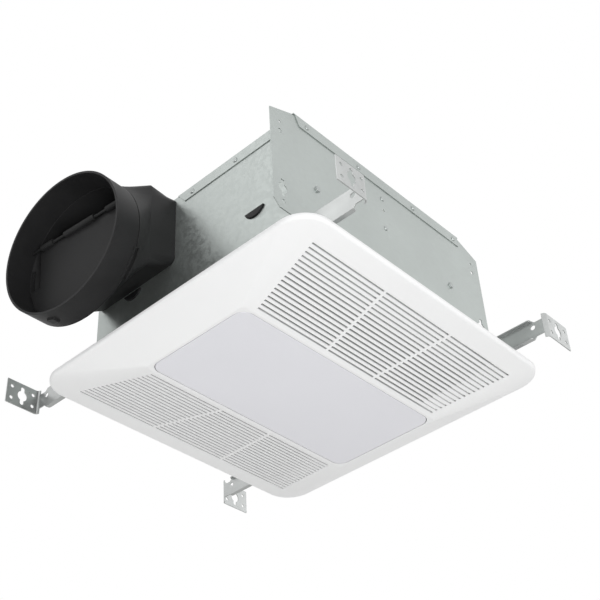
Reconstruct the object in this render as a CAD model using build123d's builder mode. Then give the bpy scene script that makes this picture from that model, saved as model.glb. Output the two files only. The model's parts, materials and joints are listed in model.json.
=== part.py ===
"""Ceiling exhaust fan with a light: steel housing, plastic duct collar, blower, grille and hanger bars.

Millimetres, +Z up. The origin is the centre of the housing in the ceiling plane: the housing stands
above it, the grille hangs below it. The duct collar faces -X and the eared mounting plate faces -Y.
"""

import os
from math import asin, cos, degrees, radians, sin, sqrt

from build123d import *

os.makedirs("parts", exist_ok=True)

# Housing: outer sizes over the lid's flanges, and the sheet it is folded from
housing_x = 252.4
housing_y = 273.4
housing_h = 172.2
sheet = 0.9
lid_flange = 12.6
lid_flange_end = 2.0
front_tab = 5.0

# Eared mounting plate on the front of the housing
ear_w = 32.0
ear_drop = 13.7
ear_low = 47.5
ear_cut = 7.5
ear_round = 7.5
ear_hole_in = 12.4
ear_hole_r = 2.3
ear_pilot_r = 1.5
ear_pilot_gap = 11.5
ear_hole_down = 22.5
ear_hole_below = 49.5
ear_keyhole_z = 65.0

# Half-moon slots in the collar side, and the blower's tabs that show in them
moon_y = 83.1
moon_w = 24.4
moon_drop = 7.8
moon_fit = 0.4
moon_stand = 1.6
moon_root = 4.0
moon_web = 1.1

# Duct collar
collar_wall = 2.2
base_margin = 2.75
base_w = 109.5
base_low = 89.5
box_reach = 31.6
box_low = 70.0
taper_reach = 63.4
ring_shift = 4.6
ring_turn = 5.4
ring_dip = 4.8
ring_r = 74.2
ring_len = 29.0
sleeve_len = 13.0
sleeve_t = 1.6
corner_r = 6.0
groove_w = 1.2
groove_d = 0.7
rib_pitch = 5.0
rib_stand = 1.2
rib_thick = 1.4
rib_from = 202.0
rib_to = 226.0
tab_back = 10.0
tab_l = 8.0
tab_w = 9.0
tab_stand = 1.9
tab_angle = -73.0

# Back-draught damper in the collar
hinge_back = 25.0
hinge_up = 32.4
hinge_pin_r = 1.5
hinge_fit = 0.05
knuckle_r = 3.2
knuckle_mid = 40.0
knuckle_end = 16.0
knuckle_pitch = 44.0
pin_skin = 0.8
flap_t = 1.6
flap_gap = 2.1
flap_notch_half = 56.0
flap_notch_drop = 44.0
leaf_angle = 48.0
leaf_w = 84.0
leaf_taper = 77.0
leaf_gap = 9.0
flap_rib_x = 24.0
flap_rib_l = 70.0
flap_rib_w = 2.0
flap_rib_t = 1.2
flap_rib_down = 14.0
stop_t = 2.0
stop_in = 3.6
stop_gap = 0.4

# Blower: spiral, wheel and motor, on one upright axis
fan_x = 3.0
fan_y = -2.0
floor_low = 86.2
floor_t = 2.5
spiral_r = 82.0
lid_gap = 2.7
scroll_t = 2.0
outlet_inset = 2.5
wheel_r = 72.0
wheel_eye_r = 58.0
wheel_rise = 10.3
wheel_top_gap = 7.4
lug_w = 14.0
lug_t = 3.0
lug_h = 9.0
blade_count = 36
blade_t = 1.2
blade_lead = 7.0
blade_bow = 3.2
wheel_ring_t = 1.8
wheel_ring_w = 6.0
dish_t = 1.6
dish_r = 46.0
hub_r = 10.0
hub_h = 12.0
hub_rise = 4.0
hub_motor_gap = 4.0
eye_gap = 1.5
inlet_wall = 1.6
inlet_flange = 20.0
motor_plate_t = 1.2
motor_case_r = 40.0
motor_case_t = 1.2
grommet_h = 4.4
grommet_r = 5.0
motor_foot_r = 45.0
shaft_r = 4.0
shaft_fit = 0.03
bearing_r = 9.0
bearing_h = 6.0
stator_in = 22.0
rotor_gap = 0.6
stator_end = 9.0
winding_h = 5.0
nut_r = 6.5
nut_h = 4.0

# Wiring compartment and capacitor inside the front plate
wiring_x = 75.0
wiring_w = 80.0
wiring_d = 28.0
wiring_gap = 14.2
wiring_t = 0.9
cover_screw_in = 5.0
socket_w = 24.0
socket_d = 15.0
socket_h = 13.0
socket_pitch = 34.0
inlet_hole_r = 10.0
clamp_wall = 1.4
clamp_out = 7.0
capacitor_w = 50.0
capacitor_d = 18.0
capacitor_h = 28.0
capacitor_down = 44.8
strap_w = 12.0
strap_t = 1.0
strap_foot = 9.0
strap_screw_out = 4.0
strap_pilot_up = 3.8

# Grille: a shallow hipped cover, hung a little towards the mounting plate
grille_w = 343.0
grille_y = -10.6
grille_drop = 21.2
grille_corner = 28.0
grille_lip = 4.4
grille_edge = 3.0
grille_shoulder = 0.3
grille_t = 2.8
flat_margin = 3.2
slot_rows = 17
slot_w = 2.0
slot_pitch = 4.98
slot_first = 68.3
slot_half_near = 121.0
slot_half_far = 139.0
bridge_w = 2.6
bridge_near = 32.5
bridge_far = 46.0

# Light: lens, tray, lamp strips and driver
lens_x = 259.2
lens_y = 118.8
lens_corner = 11.0
lens_groove = 0.7
lens_lip = 7.0
lens_lip_t = 1.8
tray_inset = 3.0
tray_t = 0.8
tray_h = 14.2
tray_flange = 10.0
strip_count = 3
strip_l = 228.0
strip_w = 11.0
strip_t = 1.2
chip_count = 12
chip = 3.6
chip_t = 0.7
driver_l = 88.0
driver_w = 42.0
driver_h = 20.0
driver_x = 45.0

# Grille springs: a coil on a hook, and two arms through slots in a bracket on the wall
spring_x = 112.0
spring_z = 8.0
coil_r = 5.5
wire_r = 0.9
coil_turns = 3
coil_pitch = 2.3
arm_gap = 0.15
arm_l = 82.0
arm_lean = 36.0
arm_tip = 6.0
hook_pin_r = 4.3
hook_t = 1.0
hook_w = 11.0
bracket_z = 37.0
bracket_t = 1.2
bracket_w = 78.0
bracket_foot = 14.0
slot_near = 24.0
slot_far = 35.0
slot_air = 0.8

# Hanger bars and the rails that guide them along the two sides
bar_t = 1.0
bar_h = 22.0
bar_z = 20.2
bar_flange = 3.6
bar_end_front = 213.4
bar_end_rear_left = 217.4
bar_end_rear_right = 223.4
bar_inner = 62.0
bar_play = 0.6
plate_w = 36.8
plate_h = 27.0
bend_r = 3.0
neck_l = 15.5
neck_h = 16.0
key_r = 5.5
key_slot_w = 4.4
key_slot_l = 20.0
plate_hole_r = 1.9
plate_hole_x = 25.0
plate_hole_z = 13.0
web_hole_r = 2.6
web_hole_in = 15.0
web_hole_up = 3.0
rail_t = 1.0
rail_l = 252.0
rail_foot = 6.6
rail_rivet_y = 84.0
lock_y = 112.0
lock_r = 2.5
lock_head_r = 5.0
lock_head_h = 4.0

# Fasteners
rivet_r = 1.6
rivet_head_r = 2.8
rivet_head_h = 0.9
screw_r = 1.8
screw_head_r = 3.4
screw_head_h = 1.8
hole_fit = 0.05
collar_screw_r = 1.0
collar_screw_l = 6.0
lid_rivet_x = (-108.0, -34.0, 50.0, 117.5)
lid_rivet_y = (-60.3, -0.5)
lid_rivet_rear_x = (-80.0, 80.0)
floor_screw_x = 99.0

# Planes and faces that several pieces share
wall_x = housing_x / 2 - sheet
wall_y = housing_y / 2 - sheet
inner_x = wall_x - sheet
inner_y = wall_y - sheet
wall_top = housing_h - sheet
rivet_z = housing_h - 0.52 * lid_flange
ear_half = wall_x + ear_w
floor_top = floor_low + floor_t
ear_top = housing_h - ear_drop
ear_hole_high = ear_top - ear_hole_down
capacitor_z = housing_h - capacitor_down
base_y = wall_y - base_margin - base_w / 2
ring_y = base_y + ring_shift
ring_z = housing_h - ring_r * cos(radians(ring_dip))
spiral_top = wall_top - lid_gap - motor_plate_t
wheel_low = floor_top + wheel_rise
wheel_high = spiral_top - wheel_top_gap
hub_low = wheel_low + hub_rise
motor_low = hub_low + hub_h + hub_motor_gap
motor_top = spiral_top - grommet_h
motor_h = motor_top - motor_low
stator_h = motor_h - 2 * stator_end
wiring_low = floor_low
wiring_h = wall_top - wiring_gap - wiring_low - wiring_t
inlet_hole_z = wiring_low + wiring_t + wiring_h / 2
floor_screw_z = floor_top + lug_h / 2
moon_top = floor_low
ring_x = -wall_x - taper_reach
ring_in = ring_r - collar_wall
wiring_y = -inner_y + wiring_d / 2
outlet_low = base_low + outlet_inset
outlet_high = housing_h - outlet_inset
outlet_near = base_y - base_w / 2 + outlet_inset
outlet_far = base_y + base_w / 2 - outlet_inset


seated = (Align.CENTER, Align.CENTER, Align.MIN)
hanging = (Align.CENTER, Align.CENTER, Align.MAX)


def across_x(x):
    """Sketch plane at x: its local x is +Y, its local y is +Z and its normal is +X."""
    return Plane.YZ.offset(x)


def across_y(y):
    """Sketch plane at y: its local x is +X, its local y is +Z and its normal is -Y."""
    return Plane.XZ.offset(-y)


def facing(point, normal):
    """Plane at a point, with its normal pointing out of the surface there."""
    return Plane(origin=point, z_dir=normal)


def save(piece, name):
    """Labels a finished piece and writes it as its own file."""
    piece.part.label = name
    export_step(piece.part, f"parts/{name}.step")


def drill(frames, radius, depth):
    """Cuts a round hole into the current part below each frame."""
    with Locations(*frames):
        Hole(radius, depth=depth)


def fasteners(name, frames, shank_r, shank_l, head_r, head_h, tail_r=0.0, tail_h=0.0):
    """A group of equal screws or rivets, each with its head standing on its frame."""
    with BuildPart() as group:
        with Locations(*frames):
            Cone(head_r, 0.85 * head_r, head_h, align=seated)
            Cylinder(shank_r, shank_l, align=hanging)
        if tail_r:
            with Locations(*[frame.offset(-shank_l) for frame in frames]):
                Cylinder(tail_r, tail_h, align=hanging)
    save(group, name)


# Frames of the fasteners that go through more than one piece
lid_front = [facing((x, -housing_y / 2, rivet_z), (0, -1, 0)) for x in lid_rivet_x]
lid_left = [facing((-housing_x / 2, y, rivet_z), (-1, 0, 0)) for y in lid_rivet_y]
lid_right = [facing((housing_x / 2, y, rivet_z), (1, 0, 0)) for y in lid_rivet_y]
lid_rear = [facing((x, housing_y / 2, rivet_z), (0, 1, 0)) for x in lid_rivet_rear_x]
lid_frames = lid_front + lid_left + lid_right + lid_rear
floor_front = [facing((s * floor_screw_x, -wall_y, floor_screw_z), (0, -1, 0)) for s in (-1, 1)]
floor_rear = [facing((s * floor_screw_x, wall_y, floor_screw_z), (0, 1, 0)) for s in (-1, 1)]
strap_z = capacitor_h / 2 + strap_t + strap_screw_out
strap_frames = [facing((0, -wall_y, capacitor_z + s * strap_z), (0, -1, 0)) for s in (-1, 1)]
rail_top = bar_z + bar_h / 2 + bar_play + rail_t
rail_low = bar_z - bar_h / 2 - bar_play - rail_t
rail_rivets = [
    facing((side * (wall_x + rail_t), s * rail_rivet_y, z), (side, 0, 0))
    for side in (-1, 1)
    for s in (-1, 1)
    for z in (rail_top + rail_foot / 2, rail_low - rail_foot / 2)
]
bracket_rivets = [
    facing((side * wall_x, grille_y + s * bracket_w / 3, bracket_z + bracket_foot / 2), (side, 0, 0))
    for side in (-1, 1)
    for s in (-1, 1)
]
collar_frames = [
    facing((-inner_x, base_y + s * base_w / 4, base_low + outlet_inset / 2), (1, 0, 0)) for s in (-1, 1)
]


# Housing shell: the two sides and the rear in one bent sheet
with BuildPart() as housing_shell:
    with BuildSketch(Plane.XY):
        with Locations((0, -inner_y)):
            Rectangle(2 * wall_x, inner_y + wall_y, align=(Align.CENTER, Align.MIN))
            Rectangle(2 * inner_x, 2 * inner_y, align=(Align.CENTER, Align.MIN), mode=Mode.SUBTRACT)
        with GridLocations(2 * wall_x - front_tab, 0, 2, 1):
            with Locations((0, sheet / 2 - inner_y)):
                Rectangle(front_tab, sheet)
    extrude(amount=wall_top)
    with BuildSketch(across_x(-wall_x)):
        with Locations(((outlet_near + outlet_far) / 2, (outlet_low + outlet_high) / 2)):
            Rectangle(outlet_far - outlet_near, outlet_high - outlet_low)
        for y in (-moon_y, moon_y):
            with BuildLine():
                ThreePointArc(
                    (y - moon_w / 2, moon_top), (y, moon_top - moon_drop), (y + moon_w / 2, moon_top)
                )
                Line((y + moon_w / 2, moon_top), (y - moon_w / 2, moon_top))
            make_face()
    extrude(amount=sheet, mode=Mode.SUBTRACT)
    drill(lid_left + lid_right + lid_rear, rivet_r + hole_fit, 3 * sheet)
    drill(collar_frames, collar_screw_r + hole_fit, 2 * sheet)
    drill(floor_rear, screw_r + hole_fit, 2 * sheet)
    drill(rail_rivets + bracket_rivets, rivet_r + hole_fit, rail_t + 2 * sheet)
    drill([facing((wall_x, wiring_y, inlet_hole_z), (1, 0, 0))], inlet_hole_r, 2 * sheet)
save(housing_shell, "housing_shell")

# Front mounting plate with ears past both sides of the housing
ear_points = [
    (wall_x, ear_low - ear_cut),
    (ear_half - ear_cut, ear_low - ear_cut),
    (ear_half, ear_low),
    (ear_half, ear_top),
    (wall_x, wall_top),
]
plate_outline = [(wall_x, 0)] + ear_points
plate_outline = plate_outline + [(-x, z) for x, z in reversed(plate_outline)]
with BuildPart() as front_mounting_plate:
    with BuildSketch(across_y(-wall_y)) as plate_sketch:
        Polygon(*plate_outline, align=None)
        corners = plate_sketch.vertices().filter_by(lambda v: abs(v.Z - ear_top) < 0.1)
        fillet(corners, radius=ear_round)
        for side in (-1, 1):
            ear_x = side * (ear_half - ear_hole_in)
            with Locations((ear_x, ear_hole_high), (ear_x, ear_hole_below)):
                Circle(ear_hole_r, mode=Mode.SUBTRACT)
            with Locations((ear_x, ear_hole_high + ear_pilot_gap)):
                Circle(ear_pilot_r, mode=Mode.SUBTRACT)
            with Locations((ear_x, ear_keyhole_z)):
                Circle(key_r, mode=Mode.SUBTRACT)
                Rectangle(key_slot_w, key_slot_l, mode=Mode.SUBTRACT)
        with Locations((0, capacitor_z + strap_pilot_up)):
            Circle(ear_pilot_r, mode=Mode.SUBTRACT)
    extrude(amount=-sheet)
    drill(lid_front, rivet_r + hole_fit, 3 * sheet)
    drill(floor_front, screw_r + hole_fit, 2 * sheet)
    drill(strap_frames, rivet_r + hole_fit, 2 * sheet)
save(front_mounting_plate, "front_mounting_plate")

# Top lid: its flanges fold down outside the walls, and it is notched for the collar
collar_notch_y = base_y - base_w / 2 - 4.0
with BuildPart() as top_lid:
    with BuildSketch(Plane.XY.offset(wall_top)):
        Rectangle(housing_x, housing_y)
        with Locations((-housing_x / 2, housing_y / 2)):
            Rectangle(
                sheet, housing_y / 2 - collar_notch_y, align=(Align.MIN, Align.MAX), mode=Mode.SUBTRACT
            )
    extrude(amount=sheet)
    flange_low = housing_h - lid_flange
    end_cut = 0.75 * lid_flange
    for y, depth in ((-housing_y / 2, -sheet), (housing_y / 2, sheet)):
        with BuildSketch(across_y(y)):
            half = wall_x - lid_flange_end
            Polygon(
                (-half, housing_h),
                (wall_x, housing_h),
                (wall_x, flange_low),
                (end_cut / 2 - half, flange_low),
                (-half, flange_low + end_cut),
                align=None,
            )
        extrude(amount=depth)
    for x, depth, far in ((-housing_x / 2, sheet, collar_notch_y), (housing_x / 2, -sheet, wall_y)):
        with BuildSketch(across_x(x)):
            Polygon(
                (lid_flange_end - wall_y, housing_h),
                (far, housing_h),
                (far - end_cut, flange_low),
                (lid_flange_end - wall_y, flange_low),
                align=None,
            )
        extrude(amount=depth)
    drill(lid_frames, rivet_r + hole_fit, 2 * sheet)
save(top_lid, "top_lid")

fasteners(
    "lid_rivets", lid_frames, rivet_r, 2 * sheet, rivet_head_r, rivet_head_h, 1.4 * rivet_r, rivet_head_h
)


def squared(low_y, high_y, low_z, high_z, r):
    """Closed outline of a rectangle with rounded corners, eight edges, from its lower side on."""
    Line((low_y + r, low_z), (high_y - r, low_z))
    CenterArc((high_y - r, low_z + r), r, -90, 90)
    Line((high_y, low_z + r), (high_y, high_z - r))
    CenterArc((high_y - r, high_z - r), r, 0, 90)
    Line((high_y - r, high_z), (low_y + r, high_z))
    CenterArc((low_y + r, high_z - r), r, 90, 90)
    Line((low_y, high_z - r), (low_y, low_z + r))
    CenterArc((low_y + r, low_z + r), r, 180, 90)


def rounded(r):
    """The same eight edges on a circle: short arcs for the sides, long ones for the corners."""
    short = 16
    for quarter in range(4):
        start = quarter * 90 - 90 - short / 2
        CenterArc((0, 0), r, start, short)
        CenterArc((0, 0), r, start + short, 90 - short)


# Ring frame: local x across it towards +Y, local y up, normal along its axis into the housing.
# Its mouth is turned a little towards the mounting plate and a little down.
turn, dip = radians(ring_turn), radians(ring_dip)
ring_plane = Plane(
    origin=(ring_x, ring_y, ring_z),
    x_dir=(-sin(turn), cos(turn), 0),
    z_dir=(cos(dip) * cos(turn), cos(dip) * sin(turn), sin(dip)),
)
mouth_plane = ring_plane.offset(-ring_len)


def collar_body(inset):
    """The collar's solid from its square foot to its round mouth, inset by a wall."""
    low_y, high_y = base_y - base_w / 2 + inset, base_y + base_w / 2 - inset
    with BuildPart() as body:
        for x, low_z in ((-wall_x, base_low), (-wall_x - box_reach, box_low)):
            with BuildSketch(across_x(x)):
                with BuildLine():
                    squared(low_y, high_y, low_z + inset, housing_h - inset, corner_r)
                make_face()
        with BuildSketch(ring_plane):
            with BuildLine():
                rounded(ring_r - inset)
            make_face()
        loft(ruled=True)
        with BuildSketch(ring_plane):
            Circle(ring_r - inset)
        extrude(amount=-ring_len)
    return body.part


# Damper frame: the ring's, set back from the mouth to the hinge
damper_plane = mouth_plane.offset(hinge_back)
hinge_point = damper_plane.from_local_coords((0, hinge_up, 0))
hinge_line = Plane(origin=hinge_point, x_dir=damper_plane.z_dir, z_dir=damper_plane.x_dir)
bend = radians(leaf_angle)
leaf_plane = Plane(
    origin=hinge_point,
    x_dir=damper_plane.x_dir,
    z_dir=damper_plane.z_dir * cos(bend) - damper_plane.y_dir * sin(bend),
)
pin_half = sqrt((ring_r - pin_skin) ** 2 - (hinge_up + hinge_pin_r) ** 2)

# Duct collar
collar_outside = collar_body(0.0)
collar_inside = collar_body(outlet_inset)
with BuildPart() as collar_inner:
    # the round wall runs on behind the ring, free of the square's corners
    with BuildSketch(ring_plane):
        Circle(ring_in + sleeve_t)
        Circle(ring_in, mode=Mode.SUBTRACT)
    extrude(amount=sleeve_len)
    # ledge that the closed flap's lower edge lies against
    with BuildSketch(damper_plane.offset(flap_gap + flap_t + stop_gap)):
        Circle(ring_r)
        Circle(ring_in - stop_in, mode=Mode.SUBTRACT)
        with Locations((0, 0.2 * ring_r)):
            Rectangle(2.2 * ring_r, 2.2 * ring_r, align=(Align.CENTER, Align.MIN), mode=Mode.SUBTRACT)
    extrude(amount=stop_t)
    add(collar_outside, mode=Mode.INTERSECT)
with BuildPart() as duct_collar:
    add(collar_outside)
    add(collar_inside, mode=Mode.SUBTRACT)
    with BuildSketch(mouth_plane):
        Circle(ring_in)
    extrude(amount=ring_len, mode=Mode.SUBTRACT)
    add(collar_inner.part)
    with BuildSketch(ring_plane.offset(-groove_w)):
        Circle(ring_r + 1)
        Circle(ring_r - groove_d, mode=Mode.SUBTRACT)
    extrude(amount=groove_w, mode=Mode.SUBTRACT)
    # two latch ribs where the ring meets the taper, and a locking tab low on the ring
    for back in (-0.5 * rib_pitch, 0.5 * rib_pitch):
        with BuildSketch(ring_plane.offset(back)):
            with BuildLine():
                CenterArc((0, 0), ring_r + rib_stand, rib_from, rib_to - rib_from)
                CenterArc((0, 0), ring_r - 2 * rib_stand, rib_from, rib_to - rib_from)
                for angle in (radians(rib_from), radians(rib_to)):
                    low_r, high_r = ring_r - 2 * rib_stand, ring_r + rib_stand
                    Line(
                        (low_r * cos(angle), low_r * sin(angle)),
                        (high_r * cos(angle), high_r * sin(angle)),
                    )
            make_face()
        extrude(amount=rib_thick)
    with BuildSketch(mouth_plane.offset(tab_back)):
        with PolarLocations(ring_r, 1, start_angle=tab_angle):
            Rectangle(2 * tab_stand, tab_w)
    extrude(amount=tab_l)
    with BuildSketch(hinge_line):
        Circle(hinge_pin_r + hinge_fit)
    extrude(amount=pin_half, both=True, mode=Mode.SUBTRACT)
    drill(collar_frames, collar_screw_r + hole_fit, 3 * sheet + collar_screw_l)
save(duct_collar, "duct_collar")

# Damper pin and flap
with BuildPart() as damper_pin:
    with BuildSketch(hinge_line):
        Circle(hinge_pin_r)
    extrude(amount=pin_half - hinge_fit, both=True)
save(damper_pin, "damper_pin")

flap_r = ring_in - stop_t
leaf_l = (ring_in - hinge_up - leaf_gap) / cos(bend)
with BuildPart() as damper_flap:
    with BuildSketch(damper_plane.offset(flap_gap)):
        Circle(flap_r)
        with Locations((0, hinge_up)):
            Rectangle(2 * flap_r, flap_r, align=(Align.CENTER, Align.MIN), mode=Mode.SUBTRACT)
        for side in (-1, 1):
            with Locations((side * (flap_notch_half + ring_r / 2), hinge_up - flap_notch_drop)):
                Rectangle(ring_r, 2 * ring_r, align=(Align.CENTER, Align.MIN), mode=Mode.SUBTRACT)
    extrude(amount=flap_t)
    # stiffening ribs on the side of the housing
    with BuildSketch(damper_plane.offset(flap_gap + flap_t)):
        for x in (-flap_rib_x, flap_rib_x):
            with Locations((x, -flap_rib_down)):
                Rectangle(flap_rib_w, flap_rib_l)
    extrude(amount=flap_rib_t)
    # short upper leaf, bent back from the pin to the top of the collar
    with BuildSketch(leaf_plane.offset(-flap_t / 2)):
        Trapezoid(leaf_w, leaf_l, leaf_taper, align=(Align.CENTER, Align.MIN))
    extrude(amount=flap_t)
    for middle, length in ((-knuckle_pitch, knuckle_end), (0, knuckle_mid), (knuckle_pitch, knuckle_end)):
        with BuildSketch(hinge_line.offset(middle - length / 2)):
            Circle(knuckle_r)
            with Locations((knuckle_r / 2 + 0.3, 0)):
                Rectangle(knuckle_r, 2 * knuckle_r)
        extrude(amount=length)
    with BuildSketch(hinge_line):
        Circle(hinge_pin_r + hinge_fit)
    extrude(amount=pin_half, both=True, mode=Mode.SUBTRACT)
save(damper_flap, "damper_flap")

# Blower spiral: four quarter arcs, each wider than the last, then a straight outlet
step = (outlet_far - fan_y - spiral_r) / 3.5
arc_x = fan_x - step / 2
arc_y = fan_y - step / 2
tongue_angle = degrees(asin((outlet_near - arc_y) / spiral_r))


def spiral_outline():
    """Inside of the spiral, seen from above, from the tongue round to the outlet and back."""
    tongue = (arc_x - spiral_r * cos(radians(tongue_angle)), outlet_near)
    CenterArc((arc_x, arc_y), spiral_r, 180 - tongue_angle, tongue_angle)
    CenterArc((arc_x + step, arc_y), spiral_r + step, 180, 90)
    CenterArc((arc_x + step, arc_y + step), spiral_r + 2 * step, 270, 90)
    CenterArc((arc_x, arc_y + step), spiral_r + 3 * step, 0, 90)
    Line((arc_x, outlet_far), (-inner_x, outlet_far))
    Line((-inner_x, outlet_far), (-inner_x, outlet_near))
    Line((-inner_x, outlet_near), tongue)


def moon_outline(y, shrink):
    """Half-moon under the blower's floor, seen from outside the collar side."""
    half = moon_w / 2 - shrink
    ThreePointArc((y - half, moon_top), (y, moon_top - moon_drop + shrink), (y + half, moon_top))
    Line((y + half, moon_top), (y - half, moon_top))


with BuildPart() as blower_scroll:
    with BuildSketch(Plane.XY.offset(floor_low)):
        Rectangle(2 * inner_x, 2 * inner_y)
        with Locations((fan_x, fan_y)):
            Circle(wheel_eye_r + hole_fit, mode=Mode.SUBTRACT)
        with Locations((inner_x, -inner_y)):
            Rectangle(
                inner_x - wiring_x + wiring_w / 2 + 1,
                wiring_d + 1,
                align=(Align.MAX, Align.MIN),
                mode=Mode.SUBTRACT,
            )
        with Locations((-inner_x, -inner_y)):
            Rectangle(
                front_tab + moon_fit,
                sheet + moon_fit,
                align=(Align.MIN, Align.MIN),
                mode=Mode.SUBTRACT,
            )
    extrude(amount=floor_t)
    with BuildSketch(Plane.XY.offset(floor_top)):
        with BuildLine():
            spiral_outline()
        make_face()
        offset(amount=scroll_t, kind=Kind.INTERSECTION)
        with BuildLine():
            spiral_outline()
        make_face(mode=Mode.SUBTRACT)
        with Locations((-inner_x, base_y)):
            Rectangle(2 * scroll_t, 2 * base_w, align=(Align.MAX, Align.CENTER), mode=Mode.SUBTRACT)
    extrude(amount=spiral_top - floor_top)
    # lugs that the front and rear screws bite into
    lug_spots = [(-floor_screw_x, -1), (-floor_screw_x, 1), (floor_screw_x, 1)]
    for x, side in lug_spots:
        with BuildSketch(Plane.XY.offset(floor_top)):
            with Locations((x, side * (inner_y - lug_t / 2))):
                Rectangle(lug_w, lug_t)
        extrude(amount=lug_h)
    for y in (-moon_y, moon_y):
        with BuildSketch(across_x(-wall_x - moon_stand)):
            with BuildLine():
                moon_outline(y, moon_fit)
            make_face()
        extrude(amount=moon_stand + sheet + moon_root)
        with BuildSketch(across_x(-inner_x)):
            with Locations((y, floor_low)):
                Rectangle(moon_w, 2 * moon_web)
        extrude(amount=moon_root)
    drill([floor_front[0]] + floor_rear, screw_r - 0.3, 2 * sheet + lug_t + 0.2)
save(blower_scroll, "blower_scroll")

# Inlet ring under the floor, with a rounded lip up towards the wheel's eye
with BuildPart() as inlet_ring:
    with BuildSketch(Plane.XZ.offset(-fan_y)) as ring_section:
        with BuildLine():
            inner = wheel_eye_r - inlet_wall
            Polyline(
                (fan_x + inner, wheel_low - eye_gap),
                (fan_x + wheel_eye_r, wheel_low - eye_gap),
                (fan_x + wheel_eye_r, floor_low),
                (fan_x + wheel_eye_r + inlet_flange, floor_low),
                (fan_x + wheel_eye_r + inlet_flange, floor_low - inlet_wall),
                (fan_x + inner, floor_low - inlet_wall),
                close=True,
            )
        make_face()
        corner = ring_section.vertices().group_by(Axis.Z)[0].sort_by(Axis.X)[0]
        fillet(corner, radius=1.3)
    revolve(axis=Axis((fan_x, fan_y, 0), (0, 0, 1)))
save(inlet_ring, "inlet_ring")

# Blower wheel: forward-curved blades between two rings, and a dish round the motor
with BuildPart() as blower_wheel:
    fan_axis = Axis((fan_x, fan_y, 0), (0, 0, 1))
    with BuildSketch(Plane.XY.offset(wheel_low)):
        with Locations((fan_x, fan_y)):
            Circle(wheel_r)
            Circle(wheel_r - wheel_ring_w, mode=Mode.SUBTRACT)
    extrude(amount=wheel_ring_t)
    with BuildSketch(Plane.XY.offset(wheel_high - wheel_ring_t)):
        with Locations((fan_x, fan_y)):
            Circle(wheel_r)
            Circle(wheel_eye_r, mode=Mode.SUBTRACT)
    extrude(amount=wheel_ring_t)
    with BuildSketch(Plane.XY.offset(wheel_low)):
        with Locations((fan_x, fan_y)):
            with PolarLocations(0, blade_count):
                with BuildLine():
                    tip = Vector(wheel_r - 0.4, 0).rotate(Axis.Z, blade_lead)
                    heel = Vector(wheel_eye_r, 0)
                    middle = (tip + heel) * 0.5 + Vector(0, -blade_bow).rotate(Axis.Z, blade_lead)
                    along = (tip - heel).normalized()
                    side = Vector(-along.Y, along.X) * (blade_t / 2)
                    ThreePointArc(heel - side, middle - side, tip - side)
                    Line(tip - side, tip + side)
                    ThreePointArc(tip + side, middle + side, heel + side)
                    Line(heel + side, heel - side)
                make_face()
    extrude(amount=wheel_high - wheel_low)
    with BuildSketch(Plane.XZ.offset(-fan_y)):
        with BuildLine():
            hub_top = hub_low + hub_h
            Polyline(
                (fan_x + shaft_r + shaft_fit, hub_low),
                (fan_x + hub_r, hub_low),
                (fan_x + dish_r, hub_low + 5),
                (fan_x + wheel_eye_r + 1, wheel_high - dish_t),
                (fan_x + wheel_eye_r + 1, wheel_high),
                (fan_x + wheel_eye_r - dish_t, wheel_high),
                (fan_x + dish_r - dish_t, hub_low + 5 + dish_t),
                (fan_x + hub_r, hub_low + dish_t + 2),
                (fan_x + hub_r - 2, hub_top),
                (fan_x + shaft_r + shaft_fit, hub_top),
                close=True,
            )
        make_face()
    revolve(axis=fan_axis)
save(blower_wheel, "blower_wheel")

# Motor shaft with its rotor, and the nut that holds the wheel on
shaft_low = hub_low - nut_h - 1
motor_mid = motor_low + motor_h / 2
with BuildPart() as motor_shaft:
    with BuildSketch(Plane.XY.offset(shaft_low)):
        with Locations((fan_x, fan_y)):
            Circle(shaft_r)
    extrude(amount=motor_top - motor_case_t - 1 - shaft_low)
    chamfer(motor_shaft.edges().filter_by(GeomType.CIRCLE).group_by(Axis.Z)[0], length=0.6)
save(motor_shaft, "motor_shaft")

with BuildPart() as motor_rotor:
    with BuildSketch(Plane.XY.offset(motor_mid - stator_h / 2)):
        with Locations((fan_x, fan_y)):
            Circle(stator_in - rotor_gap)
            Circle(shaft_r + shaft_fit, mode=Mode.SUBTRACT)
    extrude(amount=stator_h)
save(motor_rotor, "motor_rotor")

with BuildPart() as wheel_nut:
    with BuildSketch(Plane.XY.offset(hub_low - nut_h)):
        with Locations((fan_x, fan_y)):
            RegularPolygon(nut_r, 6)
            Circle(shaft_r + shaft_fit, mode=Mode.SUBTRACT)
    extrude(amount=nut_h)
save(wheel_nut, "wheel_nut")

# Motor case in two cups, with feet on the upper one
foot_frames = [
    facing((fan_x + motor_foot_r * cos(a), fan_y + motor_foot_r * sin(a), motor_top), (0, 0, 1))
    for a in (radians(90), radians(210), radians(330))
]
with BuildPart() as motor_case_upper:
    with BuildSketch(Plane.XY.offset(motor_mid)):
        with Locations((fan_x, fan_y)):
            Circle(motor_case_r)
    extrude(amount=motor_h / 2)
    with BuildSketch(Plane.XY.offset(motor_top - motor_case_t)):
        with Locations(*[(f.origin.X, f.origin.Y) for f in foot_frames]):
            Circle(grommet_r + 2)
    extrude(amount=motor_case_t)
    with BuildSketch(Plane.XY.offset(motor_mid)):
        with Locations((fan_x, fan_y)):
            Circle(motor_case_r - motor_case_t)
    extrude(amount=motor_h / 2 - motor_case_t, mode=Mode.SUBTRACT)
    drill(foot_frames, screw_r + hole_fit, 2 * motor_case_t)
save(motor_case_upper, "motor_case_upper")

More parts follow.
